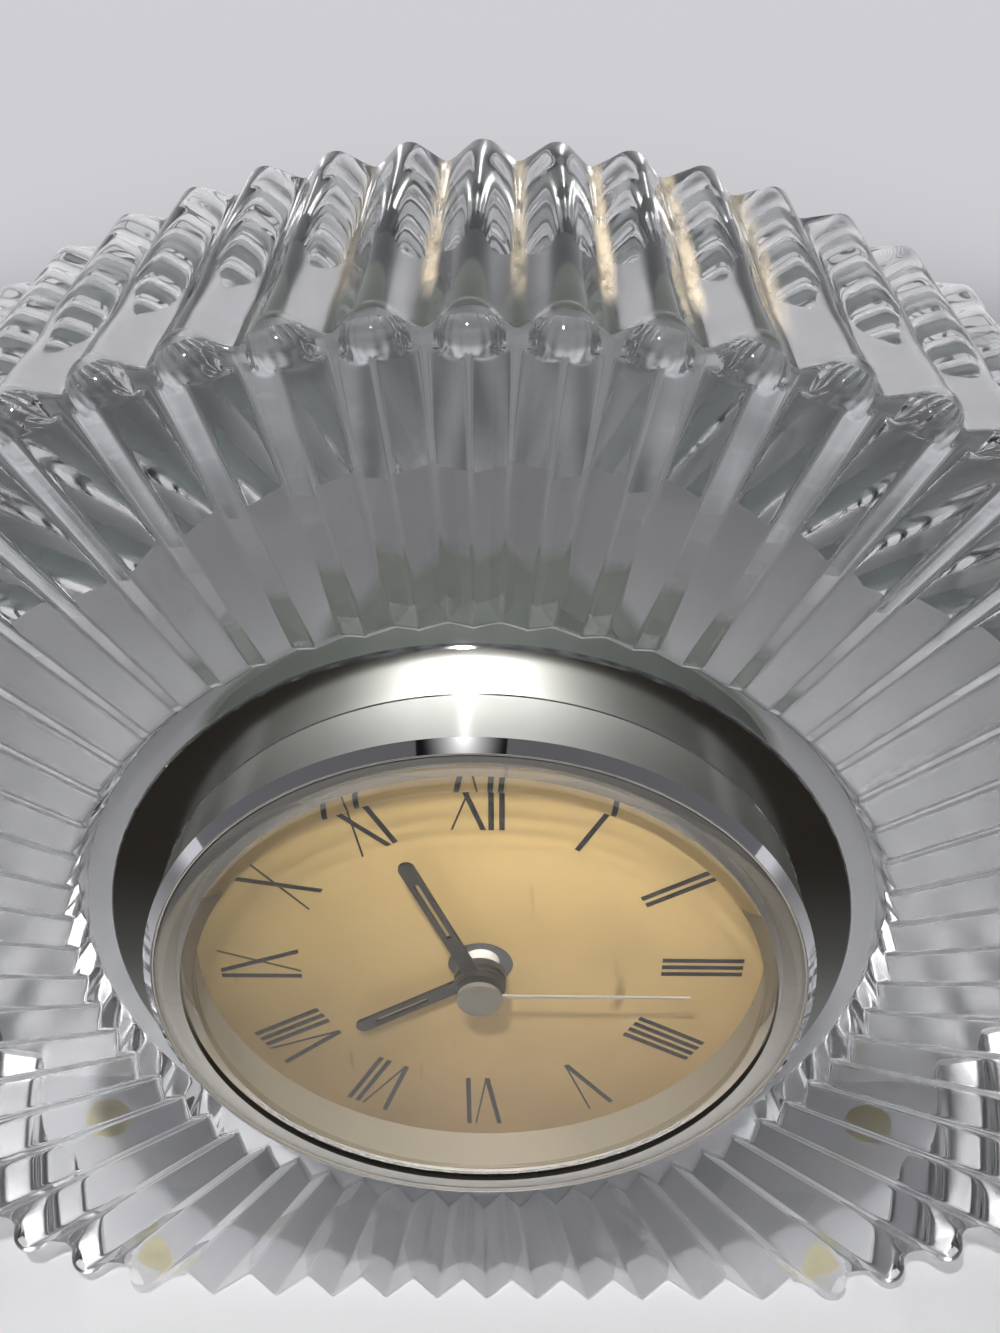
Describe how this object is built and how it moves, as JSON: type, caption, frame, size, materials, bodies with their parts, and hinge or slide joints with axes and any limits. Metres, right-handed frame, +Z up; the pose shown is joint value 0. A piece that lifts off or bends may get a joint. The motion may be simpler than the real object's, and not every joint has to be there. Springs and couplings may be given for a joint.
{
  "type": "desk clock",
  "caption": "Oval fluted crystal desk clock with a push-in quartz insert: aluminium bezel, clear lens, gold dial and Roman numerals.",
  "frame": {"origin": "on the table, under the middle of the whole clock", "axes": "+Z up, +X to the viewer's right, the dial faces -Y"},
  "size_m": [0.169, 0.0458, 0.1311],
  "materials": {
    "crystal": "clear polished crystal",
    "pad": "clear soft plastic gone yellow",
    "bezel": "turned and brushed, polished edge",
    "lens": "clear polished acrylic",
    "gasket": "matt black",
    "spacer": "pale translucent grey",
    "dial": "matt gold lacquer",
    "print": "black printing ink",
    "hands": "satin black",
    "needle": "pale satin paint",
    "cap": "matt grey",
    "case": "matt black moulding",
    "band": "matt dark grey",
    "plates": "white moulding",
    "front_plate": "dark grey moulding",
    "screws": "plated",
    "brass_wheels": "bare",
    "plastic_wheels": "white moulding",
    "magnet": "dark magnet",
    "iron": "bare sheet",
    "copper": "enamelled copper wire",
    "board": "green solder mask",
    "resin": "black resin",
    "can": "tinned",
    "knob": "black moulding",
    "cell": "printed sleeve, left bare",
    "contacts": "plated spring sheet"
  },
  "bodies": {
    "glass_block": {"crystal_body": "crystal", "front_left_pad": "pad", "front_right_pad": "pad", "rear_left_pad": "pad", "rear_right_pad": "pad"},
    "insert": {"bezel": "bezel", "lens": "lens", "lens_gasket": "gasket", "spacer_ring": "spacer", "dial": "dial", "dial_numerals": "print", "insert_case": "case", "grip_band": "band", "front_plate": "front_plate", "middle_plate": "plates", "rear_plate": "plates", "plate_screws": "screws", "stator": "iron", "coil_core": "iron", "coil": "copper", "circuit_board": "board", "chip_cover": "resin", "quartz_can": "can", "battery": "cell", "plus_contact": "contacts", "minus_contact": "contacts"},
    "seconds_group": {"second_hand": "needle", "second_cap": "cap", "second_wheel": "brass_wheels"},
    "minute_group": {"minute_hand": "hands", "minute_wheel": "brass_wheels"},
    "hour_group": {"hour_hand": "hands", "hour_wheel": "plastic_wheels"},
    "third_group": {"third_wheel": "brass_wheels"},
    "fifth_group": {"fifth_wheel": "plastic_wheels"},
    "rotor_group": {"rotor": "magnet"},
    "motion_group": {"motion_wheel": "plastic_wheels"},
    "setting_group": {"setting_arbor": "plastic_wheels", "setting_knob": "knob"}
  },
  "joints": [
    {"name": "insert_pull", "type": "slide", "parent": "glass_block", "child": "insert", "axis": [0, -1, 0], "range_m": [0, 0.03]},
    {"name": "seconds_spin", "type": "hinge", "parent": "insert", "child": "seconds_group", "pos_m": [0, -0.0205, 0.0629], "axis": [0, 1, 0], "continuous": true},
    {"name": "minute_spin", "type": "hinge", "parent": "insert", "child": "minute_group", "pos_m": [0, -0.0192, 0.0629], "axis": [0, 1, 0], "continuous": true},
    {"name": "hour_spin", "type": "hinge", "parent": "insert", "child": "hour_group", "pos_m": [0, -0.0181, 0.0629], "axis": [0, 1, 0], "continuous": true},
    {"name": "third_spin", "type": "hinge", "parent": "insert", "child": "third_group", "pos_m": [-0.00736, -0.0107, 0.06715], "axis": [0, 1, 0], "continuous": true},
    {"name": "fifth_spin", "type": "hinge", "parent": "insert", "child": "fifth_group", "pos_m": [0.0013, -0.0078, 0.07029], "axis": [0, 1, 0], "continuous": true},
    {"name": "rotor_spin", "type": "hinge", "parent": "insert", "child": "rotor_group", "pos_m": [-0.00109, -0.0063, 0.07686], "axis": [0, 1, 0], "continuous": true},
    {"name": "motion_spin", "type": "hinge", "parent": "insert", "child": "motion_group", "pos_m": [0.00789, -0.0134, 0.06577], "axis": [0, 1, 0], "continuous": true},
    {"name": "setting_spin", "type": "hinge", "parent": "insert", "child": "setting_group", "pos_m": [0.01546, -0.0053, 0.06853], "axis": [0, 1, 0], "continuous": true}
  ],
  "couplings": [
    {"joint": "minute_spin", "follows": "seconds_spin", "ratio": 0.016667},
    {"joint": "hour_spin", "follows": "seconds_spin", "ratio": 0.0013889},
    {"joint": "third_spin", "follows": "seconds_spin", "ratio": -0.13333},
    {"joint": "fifth_spin", "follows": "seconds_spin", "ratio": -5},
    {"joint": "rotor_spin", "follows": "seconds_spin", "ratio": 30},
    {"joint": "motion_spin", "follows": "seconds_spin", "ratio": -0.0055556},
    {"joint": "setting_spin", "follows": "seconds_spin", "ratio": 0.02}
  ]
}
